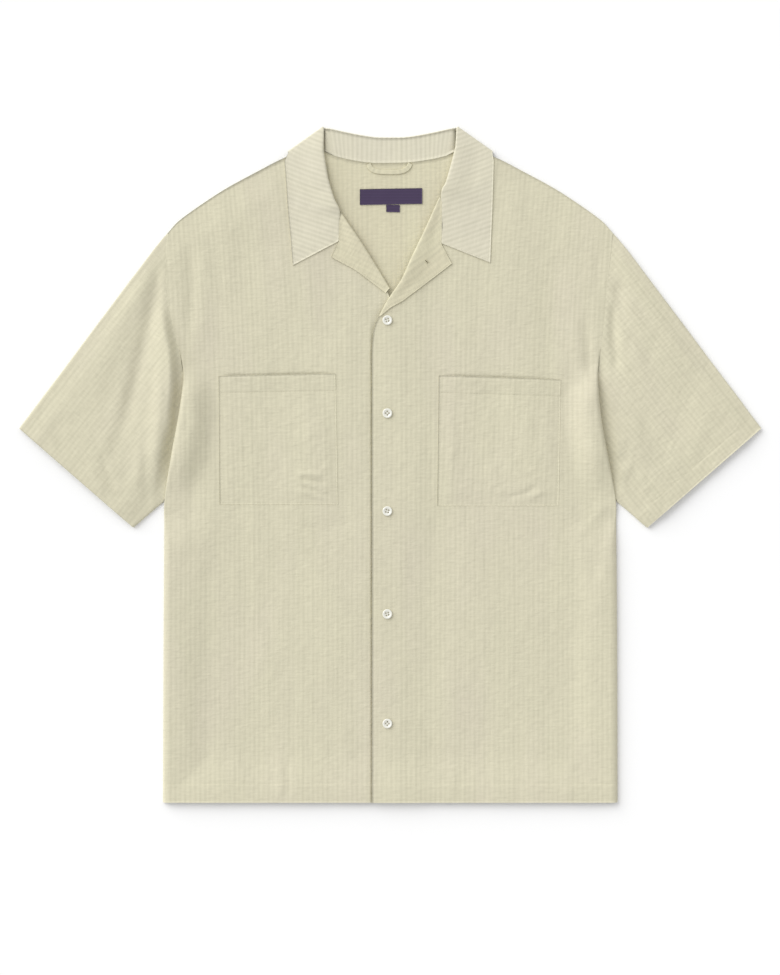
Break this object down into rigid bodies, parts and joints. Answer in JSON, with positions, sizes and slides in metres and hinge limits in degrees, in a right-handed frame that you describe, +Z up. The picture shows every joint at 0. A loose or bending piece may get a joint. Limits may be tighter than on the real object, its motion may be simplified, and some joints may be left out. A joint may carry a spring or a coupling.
{
  "type": "short-sleeve shirt",
  "caption": "Short-sleeve shirt laid flat, with an open camp collar, folded-back lapels, patch chest pockets and a buttoned front.",
  "frame": {"origin": "centre of the shirt's plan outline, on the surface it lies on", "axes": "+X towards the wearer's left sleeve, +Y from hem to collar, +Z up from the surface, out of the shirt's front"},
  "size_m": [0.8636, 0.7864, 0.0076],
  "materials": {
    "shirt_cloth": "crinkled tonal stripe weave",
    "label_satin": "satin",
    "button_shell": "polished shell"
  },
  "bodies": {
    "root": {"back": "shirt_cloth", "front_right": "shirt_cloth", "front_left": "shirt_cloth", "sleeve_right": "shirt_cloth", "sleeve_left": "shirt_cloth", "collar": "shirt_cloth", "facing_right": "shirt_cloth", "facing_left": "shirt_cloth", "pocket_right": "shirt_cloth", "pocket_left": "shirt_cloth", "hanger_loop": "shirt_cloth", "label": "label_satin", "size_tab": "label_satin", "button_1": "button_shell", "button_2": "button_shell", "button_3": "button_shell", "button_4": "button_shell", "button_5": "button_shell"}
  },
  "joints": []
}
